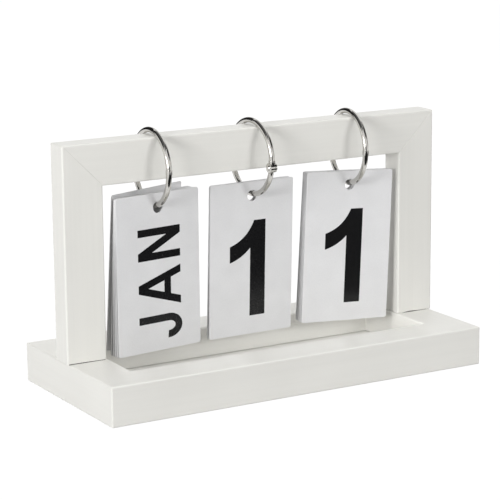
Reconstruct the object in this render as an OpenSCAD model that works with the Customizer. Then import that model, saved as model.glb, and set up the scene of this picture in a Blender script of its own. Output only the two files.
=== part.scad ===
// Perpetual flip calendar on a painted wooden stand.
// A mitred tray base carries a mitred frame, and three hinged snap rings hang on
// the frame's top bar with the month deck, the tens deck and the ones deck.
// Millimetres, +Z up, +Y to the back. Origin: middle of the base, on the table.

/* [Base] */
// Distance that each post stands out past the end of the base
post_over = 1; // [0:0.5:3]
// Depth of the base, front to back
base_d = 113; // [100:1:160]
// Height of the base rails
base_h = 23.5; // [20:0.5:35]
// Width of the base rails, seen from above
rail_w = 25; // [22:0.5:30]
// Thickness of the tray floor
floor_t = 3; // [2:0.5:5]
// Height of the tray floor's underside above the table
floor_up = 2; // [1:0.5:4]
// Depth of the groove that the tray floor sits in
groove_depth = 5; // [3:0.5:6]

/* [Frame] */
// Width of the frame over both posts
frame_w = 252; // [235:1:305]
// Height of the frame above the base
frame_h = 126.5; // [115:0.5:160]
// Width of the posts and the bar, seen from the front
stock_w = 25; // [20:0.5:27]
// Thickness of the posts and the bar, front to back
stock_t = 15.4; // [12:0.2:18]
// Distance of the frame's middle behind the middle of the base
frame_back = 4.7; // [0:0.1:12]
// Radius on the long wooden edges
edge_r = 1; // [0.5:0.1:2]
// Radius on the foot of each post
foot_r = 0.5; // [0.2:0.1:1]
// Depth of the fine groove along each mitre of the frame
mitre_ease = 0.25; // [0.1:0.05:0.5]

/* [Joinery] */
// Diameter of the dowels across the mitres
dowel_d = 6; // [4:0.5:8]
// Length of the dowels
dowel_l = 22; // [16:1:24]
// Height of the base dowels above the table
dowel_up = 14; // [11:0.5:16]
// Shank diameter of the post screws
screw_d = 4; // [3:0.5:5]
// Length of the post screws
screw_l = 40; // [35:1:50]
// Head diameter of the post screws
screw_head_d = 7; // [6:0.5:8]
// Distance between the two screws of a post
screw_pitch = 9; // [8:0.5:11]

/* [Rings] */
// Radius of a ring, to the middle of the wire
ring_r = 22; // [20.5:0.1:26]
// Diameter of the ring wire
wire_d = 3.4; // [2.4:0.1:3.6]
// Slide of each ring off its even place, in gaps between decks: month, tens, ones
ring_slid = [-0.14, 0.11, 0.5]; // [-0.6:0.01:0.6]
// Turn of each ring about the vertical
ring_turn = [-0.7, 2.4, -3.7]; // [-6:0.1:6]
// Place of each hinge round its ring, from the bottom towards the front
hinge_at = [-85, 81, -88]; // [-110:1:110]
// Radius of the hinge knuckle
knuckle_r = 2.9; // [2.4:0.1:3.2]
// Thickness of each cheek of the fork
cheek_t = 1.3; // [0.9:0.1:1.5]
// Width of the slot between the cheeks
slot_w = 1.6; // [1.2:0.1:2]
// Diameter of the hinge rivet
rivet_d = 1.8; // [1.4:0.1:2.2]
// Diameter of the pin at the snap end
pin_d = 1.6; // [1:0.1:1.8]

/* [Cards] */
// Width of a card
card_w = 58; // [50:0.5:62]
// Height of a card
card_h = 93.5; // [75:0.5:100]
// Thickness of a card
card_t = 0.5; // [0.3:0.05:0.8]
// Radius on the corners of a card
card_corner = 1.2; // [0.5:0.1:4]
// Diameter of the punched hole
hole_d = 6.6; // [6:0.1:7.4]
// Distance from the top edge of a card to the middle of its hole
hole_drop = 8.4; // [7:0.1:10]
// Sideways rest of each deck's holes, off the middle of the wire: month, tens, ones
hole_side = [0.3, -0.45, -0.25]; // [-0.5:0.05:0.5]
// Turn of each front card about the vertical: month, tens, ones
card_turn = [7.5, 2, -6.4]; // [-10:0.1:10]
// Extra turn of each next card behind the front one
turn_step = [1.6, 0.4, -0.4]; // [-1.8:0.1:1.8]
// Further turn of the rear card of each deck, which hangs a little apart
rear_turn = [3, 2.2, 0]; // [-4:0.1:4]
// Further gap in front of the rear card of each deck
rear_gap = [3.4, 0.3, 0]; // [0:0.1:4]
// Backward lean of each front card
deck_lean = [0, 1.6, 0.5]; // [0:0.1:3]
// Extra backward lean of each next card behind the front one
lean_step = [0.9, 0.6, 0.45]; // [0:0.05:1.2]
// Sideways tilt of each deck in its own plane
card_roll = [-0.2, 0.3, 2.2]; // [-3:0.1:3]
// Least air between two cards
card_air = 0.4; // [0.2:0.05:1]

/* [Hidden] */
$fn = 64;

month = 0;
tens = 1;
ones = 2;
deck_cards = [6, 2, 5];

// Fits
floor_play = 0.3;
dowel_play = 0.05;
dowel_end_room = 0.5;
screw_play = 0.2;
seat_gap = 0.1;
hang_gap = 0.52;
knuckle_gap = 0.3;
tongue_play = 0.1;
rivet_play = 0.05;
pin_play = 0.12;
cheek_land = 0.1;
over = 1;

// Screws
screw_recess = 0.8;
screw_head_h = 2.4;
screw_tip_l = 6;
screw_tip_d = 0.6;

// Ring ends, as arcs along the wire
half_ring = 180;
fork_arc = 11;
collar_d = wire_d + 0.4;
collar_arc = 7;
socket_arc = 6;
pin_arc = 5;
pin_root_arc = 1;
seam_arc = 0.3;
rivet_head_t = 0.8;
rivet_head_d = rivet_d + 1.6;

// Derived sizes
bar_top = base_h + frame_h;
base_w = frame_w - 2 * post_over;
tray_w = base_w - 2 * rail_w;
tray_d = base_d - 2 * rail_w;
fork_w = slot_w + 2 * cheek_t;
fork_d = fork_w - 2 * cheek_land;
tongue_t = slot_w - 2 * tongue_play;
ring_inner_r = ring_r - wire_d / 2;

// The decks share the clear width between the posts with even gaps
decks = len(deck_cards);
deck_gap = (frame_w - 2 * stock_w - decks * card_w) / (decks + 1);
ring_x = [for (i = [0:decks - 1])
    (i - (decks - 1) / 2) * (card_w + deck_gap) + ring_slid[i] * deck_gap];

// The screws stand in the middle of the side rail's wood, clear of the floor's groove
screw_mid = (base_w + tray_w) / 4 + groove_depth / 2;

// The wire rests on the two rounded top edges of the bar
ring_z = bar_top - edge_r
         - sqrt(pow(ring_inner_r - seat_gap - edge_r, 2) - pow(stock_t / 2 - edge_r, 2));

// Step of the holes along the wire, with air left where two cards draw together
hole_step = [for (i = [0:decks - 1])
    card_t + card_air + card_w / 2 * sin(abs(turn_step[i])) + hole_drop * sin(lean_step[i])];

// The deck balances about the ring's middle, but for what sets its rear card apart
function deck_reach(i) = let (last = deck_cards[i] - 1)
    last * hole_step[i] + (card_h / 2 - hole_drop) * sin(last * lean_step[i]);
function is_rear(i, k) = k == deck_cards[i] - 1;
function rear_step(i) = rear_gap[i] + card_w / 2 * sin(abs(rear_turn[i]));
function turn_of(i, k) = card_turn[i] + k * turn_step[i] + (is_rear(i, k) ? rear_turn[i] : 0);
function hole_y(i, k) = k * hole_step[i] - deck_reach(i) / 2 + (is_rear(i, k) ? rear_step(i) : 0);
function hole_z(i, k) = ring_z - sqrt(pow(ring_r, 2) - pow(hole_y(i, k), 2))
    + wire_d / 2 + hang_gap - hole_d / 2;

paint = "#e3e2dd";
nickel = "#b9bcc0";
paper = "#dcdcdd";
raw_wood = "#c9a77a";
zinc = "#a8abb0";

// Rectangle with round corners, about the origin
module round_rect(w, h, r) {
    square([w - 2 * r, h], center = true);
    square([w, h - 2 * r], center = true);
    for (x = [-1, 1], y = [-1, 1])
        translate([x * (w / 2 - r), y * (h / 2 - r)]) circle(r);
}

// Rail along X with its outer face at y = 0, mitred at both ends
module mitred_rail(length) {
    intersection() {
        translate([-length / 2, rail_w / 2, base_h / 2])
            rotate([90, 0, 90]) linear_extrude(length) round_rect(rail_w, base_h, edge_r);
        linear_extrude(base_h)
            polygon([[-length / 2, 0], [length / 2, 0],
                     [length / 2 - rail_w, rail_w], [rail_w - length / 2, rail_w]]);
    }
}

// Trims the upright corners of the base and cuts what the rails share
module base_finish() {
    difference() {
        intersection() {
            children();
            linear_extrude(base_h) round_rect(base_w, base_d, edge_r);
        }
        translate([0, 0, floor_up + (floor_t + floor_play) / 2])
            cube([tray_w + 2 * groove_depth, tray_d + 2 * groove_depth, floor_t + floor_play],
                 center = true);
        base_dowel_set(dowel_d + 2 * dowel_play, dowel_l + 2 * dowel_end_room);
        screw_set() screw_hole();
    }
}

module base_dowel_set(d, length) {
    for (x = [-1, 1], y = [-1, 1])
        translate([x * (base_w - rail_w) / 2, y * (base_d - rail_w) / 2, dowel_up])
            rotate([0, 90, atan2(-y, x)]) cylinder(d = d, h = length, center = true);
}

module base_front_rail() {
    color(paint) base_finish() translate([0, -base_d / 2, 0]) mitred_rail(base_w);
}

module base_rear_rail() {
    color(paint) base_finish() translate([0, base_d / 2, 0]) rotate(180) mitred_rail(base_w);
}

module base_left_rail() {
    color(paint) base_finish() translate([-base_w / 2, 0, 0]) rotate(-90) mitred_rail(base_d);
}

module base_right_rail() {
    color(paint) base_finish() translate([base_w / 2, 0, 0]) rotate(90) mitred_rail(base_d);
}

// The floor lies on the lower lip of the groove, with play at its edges
module tray_floor() {
    color(paint) translate([0, 0, floor_up + floor_t / 2])
        cube([tray_w + 2 * (groove_depth - floor_play),
              tray_d + 2 * (groove_depth - floor_play), floor_t], center = true);
}

module base_dowels() {
    color(raw_wood) base_dowel_set(dowel_d, dowel_l);
}

// Plate of the frame's whole thickness from an outline in x and height above the base
module frame_plate() {
    translate([0, frame_back + stock_t / 2, base_h])
        rotate([90, 0, 0]) linear_extrude(stock_t) children();
}

// Outline with round upper corners, open downwards
module frame_outline() {
    round_rect(frame_w, 2 * frame_h, edge_r);
}

// Outline of a post with a round foot, open upwards
module post_outline(w) {
    translate([0, frame_h]) round_rect(w, 2 * frame_h, foot_r);
}

// Fine V-grooves down the front and back of both mitres
module mitre_grooves() {
    for (side = [-1, 1], face = [-1, 1])
        translate([side * (frame_w - stock_w) / 2,
                   frame_back + face * stock_t / 2, bar_top - stock_w / 2])
            rotate([0, side * 45, 0])
                cylinder(r = mitre_ease, h = 2 * stock_w, center = true, $fn = 4);
}

module frame_dowel_set(d, length) {
    for (side = [-1, 1])
        translate([side * (frame_w - stock_w) / 2, frame_back, bar_top - stock_w / 2])
            rotate([0, 90 + side * 45, 0]) cylinder(d = d, h = length, center = true);
}

module frame_dowel_holes() {
    frame_dowel_set(dowel_d + 2 * dowel_play, dowel_l + 2 * dowel_end_room);
}

// Post on the given side, with its head mitred to meet the bar
module post(side) {
    middle = side * (frame_w - stock_w) / 2;
    difference() {
        intersection() {
            translate([middle, frame_back, base_h])
                linear_extrude(frame_h) round_rect(stock_w, stock_t, edge_r);
            translate([middle - stock_w / 2, frame_back, base_h])
                rotate([90, 0, 90]) linear_extrude(stock_w) post_outline(stock_t);
            frame_plate() intersection() {
                frame_outline();
                translate([middle, 0]) post_outline(stock_w);
                polygon([[side * frame_w / 2, 0], [side * frame_w / 2, frame_h],
                         [side * (frame_w / 2 - stock_w), frame_h - stock_w],
                         [side * (frame_w / 2 - stock_w), 0]]);
            }
        }
        mitre_grooves();
        frame_dowel_holes();
        screw_set() cylinder(d = screw_d, h = screw_l);
    }
}

module left_post() {
    color(paint) post(-1);
}

module right_post() {
    color(paint) post(1);
}

module top_bar() {
    color(paint) difference() {
        intersection() {
            translate([-frame_w / 2, frame_back, bar_top - stock_w / 2])
                rotate([90, 0, 90]) linear_extrude(frame_w) round_rect(stock_t, stock_w, edge_r);
            frame_plate() intersection() {
                frame_outline();
                polygon([[-frame_w / 2, frame_h], [frame_w / 2, frame_h],
                         [frame_w / 2 - stock_w, frame_h - stock_w],
                         [stock_w - frame_w / 2, frame_h - stock_w]]);
            }
        }
        mitre_grooves();
        frame_dowel_holes();
    }
}

module frame_dowels() {
    color(raw_wood) frame_dowel_set(dowel_d, dowel_l);
}

// Two screws go up into each post from below
module screw_set() {
    for (side = [-1, 1], step = [-1, 1])
        translate([side * screw_mid + step * screw_pitch / 2, frame_back, screw_recess]) children();
}

module screw_head() {
    cylinder(d1 = screw_head_d, d2 = screw_d, h = screw_head_h);
}

module screw_hole() {
    translate([0, 0, -screw_recess - over]) cylinder(d = screw_head_d, h = screw_recess + over);
    screw_head();
    cylinder(d = screw_d + 2 * screw_play, h = base_h);
}

module post_screws() {
    color(zinc) screw_set() {
        screw_head();
        cylinder(d = screw_d, h = screw_l - screw_tip_l);
        translate([0, 0, screw_l - screw_tip_l])
            cylinder(d1 = screw_d, d2 = screw_tip_d, h = screw_tip_l);
    }
}

// Ring frame with the hinge at angle 0: the lower half runs to +half_ring, the upper to -half_ring
module on_ring(i) {
    translate([ring_x[i], frame_back, ring_z])
        rotate([0, 0, ring_turn[i]]) rotate([0, 90, 180]) rotate(hinge_at[i])
            mirror([0, hinge_at[i] > 0 ? 1 : 0, 0]) children();
}

module wire_arc(from, to, d) {
    rotate(from) rotate_extrude(angle = to - from, $fn = 96) translate([ring_r, 0]) circle(d = d);
}

module at_hinge() {
    translate([ring_r, 0, 0]) children();
}

// Half that carries the cards: a flat tongue at the hinge and a socket at the snap
module ring_lower(i) {
    color(nickel) on_ring(i) difference() {
        union() {
            difference() {
                wire_arc(0, half_ring - seam_arc, wire_d);
                at_hinge() for (side = [0, 1])
                    mirror([0, 0, side]) translate([0, 0, tongue_t / 2])
                        cylinder(r = knuckle_r + knuckle_gap, h = fork_w);
            }
            wire_arc(half_ring - collar_arc, half_ring - seam_arc, collar_d);
            at_hinge() cylinder(r = knuckle_r - tongue_play, h = tongue_t, center = true);
        }
        at_hinge() cylinder(d = rivet_d + 2 * rivet_play, h = fork_w, center = true);
        wire_arc(half_ring - socket_arc, half_ring + seam_arc, pin_d + 2 * pin_play);
    }
}

// Half that rides on the bar: a fork at the hinge and a pin at the snap
module ring_upper(i) {
    color(nickel) on_ring(i) union() {
        difference() {
            union() {
                wire_arc(-half_ring, 0, wire_d);
                wire_arc(-fork_arc, 0, fork_d);
                at_hinge() cylinder(r = knuckle_r, h = fork_w, center = true);
            }
            at_hinge() cylinder(r = knuckle_r + knuckle_gap, h = slot_w, center = true);
            at_hinge() cylinder(d = rivet_d, h = fork_w + over, center = true);
        }
        wire_arc(-half_ring - pin_arc, pin_root_arc - half_ring, pin_d);
    }
}

module ring_rivet(i) {
    color(nickel) on_ring(i) at_hinge() {
        cylinder(d = rivet_d, h = fork_w, center = true);
        for (side = [0, 1])
            mirror([0, 0, side]) translate([0, 0, fork_w / 2])
                cylinder(d1 = rivet_head_d, d2 = rivet_d, h = rivet_head_t);
    }
}

// Card k of deck i, counted from the front, hung on the wire by its hole
module card(i, k) {
    color(paper) translate([ring_x[i], frame_back, 0]) rotate([0, 0, ring_turn[i]])
        translate([hole_side[i], hole_y(i, k), hole_z(i, k)])
            rotate([0, 0, turn_of(i, k) - ring_turn[i]])
                rotate([deck_lean[i] + k * lean_step[i], 0, 0]) rotate([90, card_roll[i], 0])
                    linear_extrude(card_t, center = true) difference() {
                        translate([0, hole_drop - card_h / 2])
                            round_rect(card_w, card_h, card_corner);
                        circle(d = hole_d);
                    }
}

base_front_rail();
base_rear_rail();
base_left_rail();
base_right_rail();
tray_floor();
base_dowels();
left_post();
right_post();
top_bar();
frame_dowels();
post_screws();
ring_lower(month);  // month_ring_lower
ring_upper(month);  // month_ring_upper
ring_rivet(month);  // month_ring_rivet
ring_lower(tens);  // tens_ring_lower
ring_upper(tens);  // tens_ring_upper
ring_rivet(tens);  // tens_ring_rivet
ring_lower(ones);  // ones_ring_lower
ring_upper(ones);  // ones_ring_upper
ring_rivet(ones);  // ones_ring_rivet
for (k = [1:deck_cards[month]])
    card(month, k - 1);
for (k = [1:deck_cards[tens]])
    card(tens, k - 1);
for (k = [1:deck_cards[ones]])
    card(ones, k - 1);
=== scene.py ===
import math

import bmesh
import bpy
import numpy as np
from mathutils import Matrix, Vector
from mathutils.geometry import delaunay_2d_cdt


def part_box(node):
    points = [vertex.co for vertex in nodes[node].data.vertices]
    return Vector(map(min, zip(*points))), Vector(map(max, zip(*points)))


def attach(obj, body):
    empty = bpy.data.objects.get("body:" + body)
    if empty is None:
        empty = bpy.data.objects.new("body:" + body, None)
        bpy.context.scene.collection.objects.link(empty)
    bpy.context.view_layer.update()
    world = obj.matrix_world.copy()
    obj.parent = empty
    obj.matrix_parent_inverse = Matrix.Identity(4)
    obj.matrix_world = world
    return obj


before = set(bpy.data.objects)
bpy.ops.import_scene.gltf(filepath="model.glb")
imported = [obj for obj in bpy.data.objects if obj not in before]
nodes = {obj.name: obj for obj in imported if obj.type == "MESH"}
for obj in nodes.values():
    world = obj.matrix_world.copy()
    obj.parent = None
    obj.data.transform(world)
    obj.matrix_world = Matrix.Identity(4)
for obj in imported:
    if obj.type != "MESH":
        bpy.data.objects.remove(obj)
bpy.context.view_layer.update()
scene = bpy.context.scene
scene.view_settings.view_transform = "Standard"
mm = 0.001
white = (255, 255, 255)


def outward(azimuth, elevation):
    # direction in degrees: azimuth 0 is straight ahead, minus is left of it
    az, el = math.radians(azimuth), math.radians(elevation)
    return Vector((math.sin(az) * math.cos(el), -math.cos(az) * math.cos(el), math.sin(el)))


# Camera

cameraSetup = {
    "azimuth": -30.21,
    "elevation": 12.43,
    "roll": -0.474,
    "distance": 1.2167,  # metres, from the target
    "target": (-0.0035, 0.0, 0.0759),
    "focal": 147.35,  # mm
    "sensor": 36.0,
    "farthest": 50,  # metres
}


def makeCamera(c):
    back = outward(c["azimuth"], c["elevation"])
    az, roll = math.radians(c["azimuth"]), math.radians(c["roll"])
    right = Vector((math.cos(az), math.sin(az), 0))
    up = back.cross(right)
    tilted = right * math.cos(roll) + up * math.sin(roll)
    upright = up * math.cos(roll) - right * math.sin(roll)
    data = bpy.data.cameras.new("camera")
    data.lens = c["focal"]
    data.sensor_width = c["sensor"]
    data.clip_end = c["farthest"]
    cam = bpy.data.objects.new("camera", data)
    turn = Matrix((tilted, upright, back)).transposed().to_4x4()
    cam.matrix_world = Matrix.Translation(Vector(c["target"]) + back * c["distance"]) @ turn
    scene.collection.objects.link(cam)
    scene.camera = cam


makeCamera(cameraSetup)
print("camera set")


# Small helpers for node materials

noiseSpan = (0.3, 0.7)  # most noise values lie between these


def linear(rgb):
    # 0-255 screen colour to the linear colour that shaders take
    shares = [c / 255 for c in rgb]
    return tuple(s / 12.92 if s < 0.04045 else ((s + 0.055) / 1.055) ** 2.4 for s in shares) + (1,)


def startMaterial(name):
    mat = bpy.data.materials.new(name)
    mat.use_nodes = True
    return mat, mat.node_tree, mat.node_tree.nodes["Principled BSDF"]


def noise(tree, perMetre, detail=3.0, rough=0.5, stretch=(1, 1, 1)):
    coords = tree.nodes.new("ShaderNodeTexCoord")
    mapping = tree.nodes.new("ShaderNodeMapping")
    mapping.inputs["Scale"].default_value = [perMetre * s for s in stretch]
    texture = tree.nodes.new("ShaderNodeTexNoise")
    texture.inputs["Scale"].default_value = 1
    texture.inputs["Detail"].default_value = detail
    texture.inputs["Roughness"].default_value = rough
    tree.links.new(coords.outputs["Object"], mapping.inputs["Vector"])
    tree.links.new(mapping.outputs["Vector"], texture.inputs["Vector"])
    return texture.outputs["Fac"]


def ramp(tree, fac, span, low, high):
    # low colour up to the start of the span, high colour from its end
    node = tree.nodes.new("ShaderNodeValToRGB")
    for element, place, colour in zip(node.color_ramp.elements, span, (low, high)):
        element.position = place
        element.color = linear(colour)
    tree.links.new(fac, node.inputs["Fac"])
    return node.outputs["Color"]


def spread(tree, fac, low, high):
    node = tree.nodes.new("ShaderNodeMapRange")
    node.inputs["From Min"].default_value = noiseSpan[0]
    node.inputs["From Max"].default_value = noiseSpan[1]
    node.inputs["To Min"].default_value = low
    node.inputs["To Max"].default_value = high
    tree.links.new(fac, node.inputs["Value"])
    return node.outputs["Result"]


def multiply(tree, a, b):
    node = tree.nodes.new("ShaderNodeMix")
    node.data_type = "RGBA"
    node.blend_type = "MULTIPLY"
    node.inputs["Factor"].default_value = 1
    tree.links.new(a, node.inputs["A"])
    tree.links.new(b, node.inputs["B"])
    return node.outputs["Result"]


def bump(tree, height, depth, under=None):
    # depth in metres
    node = tree.nodes.new("ShaderNodeBump")
    node.inputs["Strength"].default_value = 1
    node.inputs["Distance"].default_value = depth
    tree.links.new(height, node.inputs["Height"])
    if under:
        tree.links.new(under, node.inputs["Normal"])
    return node.outputs["Normal"]


def dress(names, mat):
    for name in names:
        node = nodes[name]
        node.data.materials.clear()
        node.data.materials.append(mat)


# Small helpers for meshes

def addPiece(name, bm, mat):
    bmesh.ops.recalc_face_normals(bm, faces=bm.faces)
    mesh = bpy.data.meshes.new(name)
    bm.to_mesh(mesh)
    bm.free()
    mesh.materials.append(mat)
    piece = bpy.data.objects.new(name, mesh)
    scene.collection.objects.link(piece)
    return piece


def makePrism(name, rings, mat):
    # closed solid through rings of corners
    bm = bmesh.new()
    loops = [[bm.verts.new(corner) for corner in ring] for ring in rings]
    for a, b in zip(loops, loops[1:]):
        for i in range(len(a)):
            bm.faces.new((a[i], a[i - 1], b[i - 1], b[i]))
    bm.faces.new(loops[0])
    bm.faces.new(loops[-1])
    return addPiece(name, bm, mat)


def makeSheet(name, size, mat):
    w, h = (side / 2 for side in size)
    mesh = bpy.data.meshes.new(name)
    mesh.from_pydata([(-w, -h, 0), (w, -h, 0), (w, h, 0), (-w, h, 0)], [], [(0, 1, 2, 3)])
    mesh.materials.append(mat)
    sheet = bpy.data.objects.new(name, mesh)
    scene.collection.objects.link(sheet)
    return sheet


# Painted wood of the stand

paintFinish = {
    "tone": (233, 232, 227),
    "drift": 4,  # screen levels between the palest and the darkest cloud
    "grainDrift": 2,
    "clouds": {"perMetre": 16, "detail": 2},
    "cloudSpan": (0.3, 0.7),
    "grain": {"perMetre": 420, "detail": 3, "rough": 0.6},
    "grainSpan": (0.35, 0.6),
    "grainStretch": 0.02,  # along the piece, where the grain runs fifty times as long
    "grainDepth": 0.002 * mm,
    "peel": {"perMetre": 1300, "detail": 2},
    "peelDepth": 0.008 * mm,
    "roughness": (0.34, 0.44),
    "specular": 0.5,
}


def paintedWood(axis, f=paintFinish):
    mat, tree, shader = startMaterial("painted_wood_" + axis)
    stretch = [f["grainStretch"] if axis == a else 1 for a in "xyz"]
    clouds = noise(tree, **f["clouds"])
    grain = noise(tree, **f["grain"], stretch=stretch)
    peel = noise(tree, **f["peel"])
    dark = [c - f["drift"] for c in f["tone"]]
    tone = ramp(tree, clouds, f["cloudSpan"], dark, f["tone"])
    streak = [c - f["grainDrift"] for c in white]
    streaks = ramp(tree, grain, f["grainSpan"], streak, white)
    tree.links.new(multiply(tree, tone, streaks), shader.inputs["Base Color"])
    tree.links.new(spread(tree, peel, *f["roughness"]), shader.inputs["Roughness"])
    shader.inputs["Specular IOR Level"].default_value = f["specular"]
    normal = bump(tree, peel, f["peelDepth"], bump(tree, grain, f["grainDepth"]))
    tree.links.new(normal, shader.inputs["Normal"])
    return mat


paintX, paintY, paintZ = paintedWood("x"), paintedWood("y"), paintedWood("z")
dress(("base_front_rail", "base_rear_rail", "top_bar", "tray_floor"), paintX)
dress(("base_left_rail", "base_right_rail"), paintY)
dress(("left_post", "right_post"), paintZ)


# Bare dowels and zinc screws

dowelFinish = {
    "early": (214, 180, 135),
    "late": (186, 146, 100),
    "grain": {"perMetre": 700, "detail": 4, "rough": 0.6, "stretch": (1, 1, 0.15)},
    "grainSpan": (0.35, 0.65),
    "grainDepth": 0.03 * mm,
    "roughness": (0.6, 0.75),
}
zincFinish = {
    "tone": (178, 180, 184),
    "stain": (150, 152, 150),
    "spots": {"perMetre": 900, "detail": 3},
    "spotSpan": (0.35, 0.6),
    "roughness": (0.28, 0.42),
}


def dowelWood(f=dowelFinish):
    mat, tree, shader = startMaterial("dowel_wood")
    grain = noise(tree, **f["grain"])
    tone = ramp(tree, grain, f["grainSpan"], f["late"], f["early"])
    tree.links.new(tone, shader.inputs["Base Color"])
    tree.links.new(spread(tree, grain, *f["roughness"]), shader.inputs["Roughness"])
    tree.links.new(bump(tree, grain, f["grainDepth"]), shader.inputs["Normal"])
    return mat


def zincSteel(f=zincFinish):
    mat, tree, shader = startMaterial("zinc_steel")
    spots = noise(tree, **f["spots"])
    tone = ramp(tree, spots, f["spotSpan"], f["stain"], f["tone"])
    tree.links.new(tone, shader.inputs["Base Color"])
    tree.links.new(spread(tree, spots, *f["roughness"]), shader.inputs["Roughness"])
    shader.inputs["Metallic"].default_value = 1
    return mat


dress(("base_dowels", "frame_dowels"), dowelWood())
dress(("post_screws",), zincSteel())


# Painted shadow: a thin dark strip that stands for the shade in the hairline gap under the front of
# each post

# colours of the painted gap shadow: a dark shade with paler random specks
gapShadowFinish = {
    "tone": (62, 60, 57),
    # paler tone of the random specks in the painted shadow
    "speckTone": (84, 82, 78),
    "specks": {"perMetre": 1200, "detail": 3},
    "speckSpan": (0.4, 0.7),
    "roughness": (0.8, 0.95),
}
jointGaps = {  # share of the way along the foot, and height in mm
    "left_post": [(0, 0.5), (0.5, 0.42), (1, 0.25)],
    "right_post": [(0.1, 0.05), (0.3, 0.6), (0.45, 0.5), (0.6, 0.28), (0.9, 0.1)],
}
gapShadowStrip = {
    "inset": 1.0 * mm,  # the post's round edges
    "proud": 0.04 * mm,
    "sunk": 0.02 * mm,
}


# material that paints the shadow in the gap as a dark colour
def gapShadowMaterial(f=gapShadowFinish):
    mat, tree, shader = startMaterial("painted_gap_shadow")
    specks = noise(tree, **f["specks"])
    tone = ramp(tree, specks, f["speckSpan"], f["tone"], f["speckTone"])
    tree.links.new(tone, shader.inputs["Base Color"])
    tree.links.new(spread(tree, specks, *f["roughness"]), shader.inputs["Roughness"])
    return mat


# a dark prism on the front of the post's foot that paints the gap's shadow, as high as the gap at
# each station
def makeGapShadow(post, stations, mat, j=gapShadowStrip):
    low, high = (Vector(c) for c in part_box(post))
    left, length = low.x + j["inset"], high.x - low.x - 2 * j["inset"]
    front, back = low.y - j["proud"], low.y + j["sunk"]
    rings = []
    for share, height in stations:
        x, top = left + share * length, low.z + height * mm
        rings.append([(x, front, low.z), (x, front, top), (x, back, top), (x, back, low.z)])
    piece = makePrism(post + "_gap_shadow", rings, mat)
    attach(piece, "stand")


shade = gapShadowMaterial()
for postName, gapStations in jointGaps.items():
    makeGapShadow(postName, gapStations, shade)


# Paint that fills the left mitre, where the right one shows its groove

mitreFill = {
    "width": 0.62 * mm,
    "depth": 0.2 * mm,
    "proud": 0.01 * mm,
    "along": (0.05, 0.97),  # shares of the way from the outer corner to the inner one
}


def fillMitre(post, mat, m=mitreFill):
    low, high = (Vector(c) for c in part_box(post))
    way = Vector((high.x - low.x, 0, low.x - high.x))
    across = Vector((m["width"] / 2, 0, m["width"] / 2)) / math.sqrt(2)
    rings = []
    for share in m["along"]:
        middle = Vector((low.x, low.y - m["proud"], high.z)) + way * share
        rings.append([middle - across, middle + across, middle + Vector((0, m["depth"], 0))])
    piece = makePrism(post + "_mitre_fill", rings, mat)
    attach(piece, "stand")


fillMitre("left_post", paintX)


# Nickel rings

nickelFinish = {
    "tone": (205, 203, 199),
    "dull": (188, 186, 181),
    "rubs": {"perMetre": 2400, "detail": 4, "rough": 0.6},
    "rubSpan": (0.35, 0.6),
    "rubDepth": 0.002 * mm,
    "roughness": (0.07, 0.16),
}


def nickelWire(f=nickelFinish):
    mat, tree, shader = startMaterial("nickel_wire")
    rubs = noise(tree, **f["rubs"])
    tone = ramp(tree, rubs, f["rubSpan"], f["dull"], f["tone"])
    tree.links.new(tone, shader.inputs["Base Color"])
    tree.links.new(spread(tree, rubs, *f["roughness"]), shader.inputs["Roughness"])
    tree.links.new(bump(tree, rubs, f["rubDepth"]), shader.inputs["Normal"])
    shader.inputs["Metallic"].default_value = 1
    return mat


dress([n for n in nodes if "_ring_" in n], nickelWire())


# Card stock and printing ink

cardFinish = {
    "tone": (232, 232, 233),
    "cloudTone": (227, 227, 228),
    "clouds": {"perMetre": 60, "detail": 2},
    "cloudSpan": (0.3, 0.7),
    "fibreTone": (250, 250, 250),
    "fibres": {"perMetre": 1800, "detail": 4, "rough": 0.6},
    "fibreSpan": (0.3, 0.6),
    "fibreDepth": 0.004 * mm,
    "roughness": (0.42, 0.52),
    "specular": 0.4,
}
inkFinish = {
    "tone": (23, 23, 24),
    "thin": (26, 26, 27),
    "specks": {"perMetre": 900, "detail": 3},
    "speckSpan": (0.35, 0.75),
    "roughness": (0.15, 0.19),
    "specular": 0.3,
}


def cardStock(f=cardFinish):
    mat, tree, shader = startMaterial("card_stock")
    fibres = noise(tree, **f["fibres"])
    clouds = noise(tree, **f["clouds"])
    tone = ramp(tree, clouds, f["cloudSpan"], f["cloudTone"], f["tone"])
    specks = ramp(tree, fibres, f["fibreSpan"], f["fibreTone"], white)
    tree.links.new(multiply(tree, tone, specks), shader.inputs["Base Color"])
    tree.links.new(spread(tree, fibres, *f["roughness"]), shader.inputs["Roughness"])
    tree.links.new(bump(tree, fibres, f["fibreDepth"]), shader.inputs["Normal"])
    shader.inputs["Specular IOR Level"].default_value = f["specular"]
    return mat


def printInk(f=inkFinish):
    mat, tree, shader = startMaterial("print_ink")
    specks = noise(tree, **f["specks"])
    tone = ramp(tree, specks, f["speckSpan"], f["tone"], f["thin"])
    tree.links.new(tone, shader.inputs["Base Color"])
    tree.links.new(spread(tree, specks, *f["roughness"]), shader.inputs["Roughness"])
    shader.inputs["Specular IOR Level"].default_value = f["specular"]
    return mat


dress([n for n in nodes if "_card_" in n], cardStock())
ink = printInk()
print("materials on", len(nodes), "nodes")


# Letter and number shapes, one unit high, each a list of overlapping outlines

roundStep = 6  # degrees between points of a round stroke
longestArc = 180  # degrees, a longer stroke is made in parts


def bar(x0, y0, x1, y1):
    return [[(x0, y0), (x1, y0), (x1, y1), (x0, y1)]]


def slab(*points):
    return [list(points)]


def bow(start, end, sag, steps=10):
    # points of a shallow arc, sag to the left of the way from start to end
    (x0, y0), (x1, y1) = start, end
    length = math.hypot(x1 - x0, y1 - y0)
    nx, ny = (y0 - y1) / length, (x1 - x0) / length
    points = []
    for i in range(steps + 1):
        t = i / steps
        rise = 4 * sag * t * (1 - t)
        points.append((x0 + (x1 - x0) * t + nx * rise, y0 + (y1 - y0) * t + ny * rise))
    return points


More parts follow.
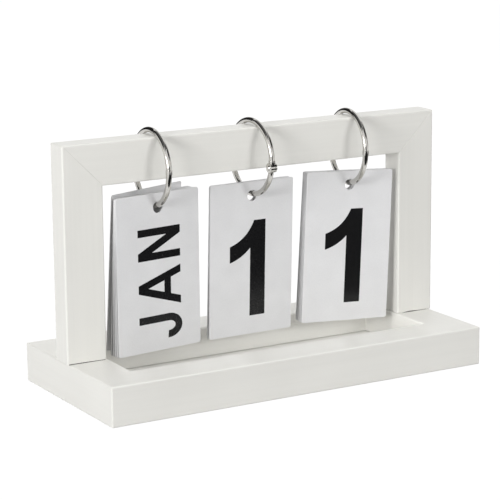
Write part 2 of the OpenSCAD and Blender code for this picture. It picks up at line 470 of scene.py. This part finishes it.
def bowl(cx, cy, rx, ry, sx, sy, fromDeg=0, toDeg=360):
    # stroke round an ellipse: sx is its thickness at the sides, sy at the top and bottom
    parts = max(1, math.ceil((toDeg - fromDeg) / longestArc))
    out = []
    for p in range(parts):
        a0 = fromDeg + (toDeg - fromDeg) * p / parts
        a1 = fromDeg + (toDeg - fromDeg) * (p + 1) / parts
        steps = max(2, round((a1 - a0) / roundStep))
        angles = [math.radians(a0 + (a1 - a0) * i / steps) for i in range(steps + 1)]
        outer = [(cx + rx * math.cos(a), cy + ry * math.sin(a)) for a in angles]
        inner = [(cx + (rx - sx) * math.cos(a), cy + (ry - sy) * math.sin(a)) for a in angles]
        out.append(outer + inner[::-1])
    return out


def turned(shapes, width):
    return [[(width - x, 1 - y) for x, y in outline] for outline in shapes]


def mirrored(shapes, width):
    return [[(width - x, y) for x, y in outline[::-1]] for outline in shapes]


letterStroke = {"stem": 0.148, "bar": 0.156}
numberStroke = {"stem": 0.181, "bar": 0.155}


def makeLetters(w):
    s, t = w["stem"], w["bar"]
    stem = bar(0, 0, s, 1)
    letters = {}  # name: (width, shapes)
    leg = slab((0, 0), (0.155, 0), (0.463, 1), (0.311, 1))
    letters["A"] = 0.784, leg + mirrored(leg, 0.784) + bar(0.17, 0.235, 0.614, 0.391)
    upper = bar(s / 2, 1 - t, 0.33, 1) + bowl(0.33, 0.72, 0.235, 0.28, s, t, -90, 90)
    lower = bar(s / 2, 0, 0.35, t) + bowl(0.35, 0.29, 0.255, 0.29, s, t, -90, 90)
    letters["B"] = 0.605, stem + upper + lower + bar(s / 2, 0.58 - t, 0.35, 0.58)
    letters["C"] = 0.66, bowl(0.37, 0.5, 0.37, 0.52, s, t, 42, 318)
    letters["D"] = 0.66, stem + bar(s / 2, 0, 0.28, t) + bar(s / 2, 1 - t, 0.28, 1) + bowl(
        0.28, 0.5, 0.38, 0.5, s, t, -90, 90)
    letters["E"] = 0.56, stem + bar(s / 2, 0, 0.56, t) + bar(s / 2, 0.43, 0.51, 0.43 + t) + bar(
        s / 2, 1 - t, 0.55, 1)
    letters["F"] = 0.53, stem + bar(s / 2, 0.41, 0.47, 0.41 + t) + bar(s / 2, 1 - t, 0.53, 1)
    letters["G"] = 0.72, bowl(0.37, 0.5, 0.37, 0.52, s, t, 42, 322) + bar(
        0.72 - s, 0.12, 0.72, 0.53) + bar(0.40, 0.53 - t, 0.70, 0.53)
    letters["J"] = 0.492, bar(0.492 - s, 0.29, 0.492, 1) + bowl(
        0.246, 0.29, 0.246, 0.313, s, 0.165, 175, 360)
    letters["L"] = 0.54, stem + bar(s / 2, 0, 0.54, t)
    slope = slab((0.004, 1), (0.19, 1), (0.47, 0), (0.34, 0))
    letters["M"] = 0.81, stem + bar(0.81 - s, 0, 0.81, 1) + slope + mirrored(slope, 0.81)
    letters["N"] = 0.628, stem + bar(0.628 - s, 0, 0.628, 1) + slab(
        (0.004, 0.96), (0.004, 1), (0.157, 1), (0.624, 0.03), (0.624, 0), (0.474, 0))
    letters["O"] = 0.75, bowl(0.375, 0.5, 0.375, 0.52, s, t)
    bowlP = bar(s / 2, 1 - t, 0.35, 1) + bowl(0.35, 0.7, 0.27, 0.3, s, t, -90, 90)
    bowlP += bar(s / 2, 0.4, 0.35, 0.4 + t)
    letters["P"] = 0.62, stem + bowlP
    letters["R"] = 0.665, stem + bowlP + slab((0.29, 0.45), (0.45, 0.45), (0.665, 0), (0.49, 0))
    middle = 0.22  # from the S's waist to the middle of each bend
    letters["S"] = 0.62, bowl(0.31, 0.5 + middle, 0.285, middle + t / 2, s, t, 18, 270) + bowl(
        0.31, 0.5 - middle, 0.31, middle + t / 2, s, t, -162, 90)
    letters["T"] = 0.62, bar(0, 1 - t, 0.62, 1) + bar(0.31 - s / 2, 0, 0.31 + s / 2, 1 - t / 2)
    letters["U"] = 0.64, bar(0, 0.33, s, 1) + bar(0.64 - s, 0.33, 0.64, 1) + bowl(
        0.32, 0.33, 0.32, 0.353, s, 0.165, 180, 360)
    wing = slab((0, 1), (0.16, 1), (0.44, 0), (0.285, 0))
    letters["V"] = 0.725, wing + mirrored(wing, 0.725)
    arm = slab((0, 1), (0.175, 1), (0.424, 0.52), (0.424, 0.36), (0.276, 0.36))
    letters["Y"] = 0.70, arm + mirrored(arm, 0.70) + bar(0.276, 0, 0.424, 0.44)
    return letters


def makeNumbers(w):
    s, t = w["stem"], w["bar"]
    numbers = {}
    numbers["0"] = 0.58, bowl(0.29, 0.5, 0.29, 0.512, s, t)
    flagTop = bow((0.286, 1), (0, 0.748), 0.045)
    flagFoot = bow((0, 0.5775), (0.4242 - s, 0.717), -0.0194)
    numbers["1"] = 0.4242, slab((0.4242 - s, 0), (0.4242, 0), (0.4242, 1), *flagTop, *flagFoot)
    neck = bow((0.5, 0.53), (0.235, t / 2), -0.02)
    numbers["2"] = 0.56, bowl(0.28, 0.72, 0.28, 0.292, s, t, -24, 168) + bar(0, 0, 0.56, t) + slab(
        (0.37, 0.665), (0.536, 0.601), *neck, (0, t / 2), (0, 0.18))
    numbers["3"] = 0.57, bowl(0.275, 0.73, 0.255, 0.282, s, t, -90, 165) + bowl(
        0.275, 0.29, 0.29, 0.302, s, t, -165, 90) + bar(0.18, 0.442, 0.28, 0.442 + t)
    numbers["4"] = 0.62, bar(0.35, 0, 0.35 + s, 1) + bar(0, 0.2, 0.62, 0.2 + t) + slab(
        (0, 0.21), (0, 0.35), (0.36, 1), (0.5, 1), (0.5, 0.9), (0.17, 0.34))
    numbers["5"] = 0.57, bar(0.1, 1 - t, 0.53, 1) + bowl(
        0.28, 0.33, 0.29, 0.342, s, t, -165, 138) + slab(
        (0.1, 1), (0.24, 1), (0.2, 0.6), (0.12, 0.52), (0.03, 0.47))
    six = bowl(0.285, 0.318, 0.285, 0.33, s, t) + bowl(0.295, 0.5, 0.295, 0.512, s, t, 30, 186)
    numbers["6"] = 0.575, six
    numbers["7"] = 0.56, bar(0, 1 - t, 0.56, 1) + slab(
        (0.385, 1 - t / 2), (0.56, 1 - t / 2), (0.56, 0.86), *bow((0.56, 0.86), (0.295, 0), -0.05),
        *bow((0.1, 0), (0.385, 0.86), 0.05))
    numbers["8"] = 0.57, bowl(0.285, 0.735, 0.255, 0.277, s * 0.94, t * 0.92) + bowl(
        0.285, 0.285, 0.285, 0.297, s, t)
    numbers["9"] = 0.575, turned(six, 0.575)
    return numbers


letterShapes = makeLetters(letterStroke)
numberShapes = makeNumbers(numberStroke)


# Printing on both faces of each card, sizes in mm from a card's lower left corner

monthPrint = {
    "words": "JAN FEB MAR APR MAY JUN JUL AUG SEP OCT NOV DEC".split(),
    "capHeight": 29.8,
    "baseline": 44.3,  # from the left edge, the word reads upwards
    "middle": 39.9,  # from the lower edge to the middle of the word
    "longest": 67.0,
    "gap": 0.165,  # between letters, in cap heights
}
digitPlace = {"height": 58.7, "foot": 11.3, "middle": 26.3}
tensPrint = {"words": "1 0 2 3".split(), **digitPlace}
onesPrint = {"words": "1 2 3 4 5 6 7 8 9 0".split(), **digitPlace}
inkFilm = {
    "above": 0.03 * mm,
    "below": 0.02 * mm,
    "joinWithin": 1e-5,  # mm, points nearer than this are one
    "flatWithin": 0.001,  # radians, triangles that lie this flat become one face
}


def monthOutlines(word, p):
    letters = [letterShapes[c] for c in word]
    cap = p["capHeight"]
    length = sum(w for w, _ in letters) + p["gap"] * (len(letters) - 1)
    squeeze = min(1, p["longest"] / cap / length)
    outlines, along = [], -length / 2
    for width, shapes in letters:
        for outline in shapes:
            outlines.append([(p["baseline"] - y * cap, p["middle"] + (along + x) * squeeze * cap)
                             for x, y in outline])
        along += width + p["gap"]
    return outlines


def numberOutlines(digit, p):
    width, shapes = numberShapes[digit]
    size = p["height"]
    return [[(p["middle"] + (x - width / 2) * size, p["foot"] + y * size) for x, y in outline]
            for outline in shapes]


def joinOutlines(outlines):
    # overlapping outlines to one set of triangles, each place covered once
    points, faces = [], []
    for outline in outlines:
        turn = sum(a[0] * b[1] - b[0] * a[1] for a, b in zip(outline, outline[1:] + outline[:1]))
        outline = outline if turn > 0 else outline[::-1]
        faces.append(list(range(len(points), len(points) + len(outline))))
        points += [Vector(p) for p in outline]
    verts, _, tris, _, _, sources = delaunay_2d_cdt(points, [], faces, 0, inkFilm["joinWithin"])
    return verts, [t for t, source in zip(tris, sources) if source]


def cardFrame(name):
    # a card's own right, up and face directions, and how far it reaches along each
    pts = np.array([v.co for v in nodes[name].data.vertices])
    _, axes = np.linalg.eigh(np.cov((pts - pts.mean(0)).T))
    face, right, up = (Vector(axes[:, i]) for i in range(3))
    up = up if up.z > 0 else -up
    face = face if face.y < 0 else -face
    right = up.cross(face)
    low = [min(Vector(p).dot(a) for p in pts) for a in (right, up, face)]
    high = [max(Vector(p).dot(a) for p in pts) for a in (right, up, face)]
    return low, high, right, up, face


def printCard(name, side, outlines):
    low, high, right, up, face = cardFrame(name)
    if side == "back":
        right, face = -right, -face
        low[0], high[2] = -high[0], -low[2]
    verts, tris = joinOutlines(outlines)
    bm = bmesh.new()
    base = right * low[0] + up * low[1] + face * (high[2] - inkFilm["below"])
    flat = [bm.verts.new(base + right * (v.x * mm) + up * (v.y * mm)) for v in verts]
    for tri in tris:
        bm.faces.new([flat[i] for i in tri])
    loose = [v for v in bm.verts if not v.link_faces]
    bmesh.ops.delete(bm, geom=loose, context="VERTS")
    bmesh.ops.dissolve_limit(bm, angle_limit=inkFilm["flatWithin"], verts=bm.verts, edges=bm.edges)
    lifted = bmesh.ops.extrude_face_region(bm, geom=bm.faces[:])["geom"]
    risen = [g for g in lifted if isinstance(g, bmesh.types.BMVert)]
    bmesh.ops.translate(bm, vec=face * (inkFilm["above"] + inkFilm["below"]), verts=risen)
    piece = addPiece(name + "_print_" + side, bm, ink)
    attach(piece, name)


def printDeck(deck, p, outlinesOf):
    for i, word in enumerate(p["words"]):
        card = f"{deck}_card_{i // 2 + 1}"
        printCard(card, "back" if i % 2 else "front", outlinesOf(word, p))
    print(deck, "deck printed,", len(p["words"]), "faces")


printDeck("month", monthPrint, monthOutlines)
printDeck("tens", tensPrint, numberOutlines)
printDeck("ones", onesPrint, numberOutlines)


# Floor, studio lights and white surround, places and sizes in metres

floorSetup = {
    "size": (8.0, 8.0),
    "drop": 0.2 * mm,  # below the base, so that the two faces don't fight
    "tone": (192, 192, 192),
    "roughness": 0.9,
    "glow": 1.08,
    "white": 0.93,  # share of the glow in what the camera and reflections see
}
lampAim = (0, 0, 0.07)
lampSetup = {  # flagged lamps are kept out of reflections
    "leftKey": {"place": (-1.74, -0.90, 0.40), "size": (0.6, 0.4), "watts": 13.8},
    "leftSide": {"place": (-1.86, -0.50, 0.56), "size": (0.6, 0.4), "watts": 6.6},
    "leftHigh": {"place": (-1.44, -0.38, 1.41), "size": (0.8, 0.6), "watts": 8.3, "flagged": True},
    "frontFill": {"place": (0.66, -1.81, 0.57), "size": (0.5, 0.4), "watts": 9.2, "flagged": True},
    "frontMid": {"place": (0.0, -1.85, 0.82), "size": (0.9, 0.4), "watts": 4.8, "flagged": True},
    "softTop": {"place": (0.0, -0.06, 1.71), "size": (1.1, 1.1), "watts": 11.5, "flagged": True},
    "softBack": {"place": (0.17, 1.97, 0.38), "size": (0.4, 0.3), "watts": 24.0, "flagged": True},
    "rightBack": {"place": (0.82, 1.42, 1.22), "size": (0.6, 0.6), "watts": 3.0, "flagged": True},
}
surroundSetup = {"light": 0.1}
flagCentre = (0, 0, 0.13)  # middle of the three rings
flagSetup = {  # dark studio cards that only reflections see, toward is in degrees
    "backFlag": {"toward": (-166, 22), "reach": 1.6, "size": (1.6, 1.5), "tone": 40},
    "leftFlag": {"toward": (-115, 42), "reach": 1.5, "size": (1.6, 1.0), "tone": 35},
    "roofFlag": {"toward": (-90, 80), "reach": 1.4, "size": (2.0, 1.5), "tone": 110},
    "frontFlag": {"toward": (52, 38), "reach": 1.5, "size": (1.6, 0.9), "tone": 50},
    "rightFlag": {"toward": (88, 13), "reach": 1.3, "size": (0.7, 0.7), "tone": 60},
    "lensFlag": {"toward": (-3, -2), "reach": 1.1, "size": (0.6, 0.4), "tone": 30},
    "lowFlag": {"toward": (3, -13), "reach": 0.57, "size": (0.65, 0.86), "tone": 40, "flat": True},
    "sideFlag": {"toward": (85, -12), "reach": 0.62, "size": (0.6, 0.9), "tone": 120, "flat": True},
}


def cameraSees(tree):
    # 1 for rays from the camera, a mirror or glass
    path = tree.nodes.new("ShaderNodeLightPath")
    first = tree.nodes.new("ShaderNodeMath")
    second = tree.nodes.new("ShaderNodeMath")
    first.operation = second.operation = "MAXIMUM"
    tree.links.new(path.outputs["Is Camera Ray"], first.inputs[0])
    tree.links.new(path.outputs["Is Glossy Ray"], first.inputs[1])
    tree.links.new(first.outputs[0], second.inputs[0])
    tree.links.new(path.outputs["Is Transmission Ray"], second.inputs[1])
    return second.outputs[0]


def makeFloor(f):
    mat, tree, shader = startMaterial("floor_white")
    shader.inputs["Base Color"].default_value = linear(f["tone"])
    shader.inputs["Roughness"].default_value = f["roughness"]
    glow = tree.nodes.new("ShaderNodeEmission")
    glow.inputs["Strength"].default_value = f["glow"]
    share = tree.nodes.new("ShaderNodeMath")
    share.operation = "MULTIPLY"
    share.inputs[1].default_value = f["white"]
    mix = tree.nodes.new("ShaderNodeMixShader")
    tree.links.new(cameraSees(tree), share.inputs[0])
    tree.links.new(share.outputs[0], mix.inputs[0])
    tree.links.new(shader.outputs[0], mix.inputs[1])
    tree.links.new(glow.outputs[0], mix.inputs[2])
    tree.links.new(mix.outputs[0], tree.nodes["Material Output"].inputs["Surface"])
    floor = makeSheet("floor", f["size"], mat)
    floor.location.z = -f["drop"]


def makeLamp(name, p):
    data = bpy.data.lights.new(name, "AREA")
    data.shape = "RECTANGLE"
    data.size, data.size_y = p["size"]
    data.energy = p["watts"]
    lamp = bpy.data.objects.new(name, data)
    lamp.location = p["place"]
    aim = Vector(lampAim) - lamp.location
    lamp.rotation_euler = aim.to_track_quat("-Z", "Y").to_euler()
    lamp.visible_glossy = not p.get("flagged", False)
    scene.collection.objects.link(lamp)


def makeFlag(name, p):
    mat, tree, _ = startMaterial(name)
    mat.cycles.emission_sampling = "NONE"
    cloth = tree.nodes.new("ShaderNodeEmission")
    cloth.inputs["Color"].default_value = linear([p["tone"]] * 3)
    tree.links.new(cloth.outputs[0], tree.nodes["Material Output"].inputs["Surface"])
    flag = makeSheet(name, p["size"], mat)
    out = outward(*p["toward"])
    flag.location = Vector(flagCentre) + out * p["reach"]
    if not p.get("flat"):
        flag.rotation_euler = (-out).to_track_quat("Z", "Y").to_euler()
    flag.visible_camera = flag.visible_diffuse = False
    flag.visible_shadow = flag.visible_transmission = False


def makeSurround(s):
    world = bpy.data.worlds.new("surround")
    scene.world = world
    world.use_nodes = True
    tree = world.node_tree
    soft = tree.nodes["Background"]
    soft.inputs["Strength"].default_value = s["light"]
    soft.inputs["Color"].default_value = linear(white)
    bright = tree.nodes.new("ShaderNodeBackground")
    bright.inputs["Color"].default_value = linear(white)
    mix = tree.nodes.new("ShaderNodeMixShader")
    tree.links.new(cameraSees(tree), mix.inputs[0])
    tree.links.new(soft.outputs[0], mix.inputs[1])
    tree.links.new(bright.outputs[0], mix.inputs[2])
    tree.links.new(mix.outputs[0], tree.nodes["World Output"].inputs["Surface"])


makeFloor(floorSetup)
for lampName, lampValues in lampSetup.items():
    makeLamp(lampName, lampValues)
makeSurround(surroundSetup)
for flagName, flagValues in flagSetup.items():
    makeFlag(flagName, flagValues)
print("floor, lamps, flags and surround set")
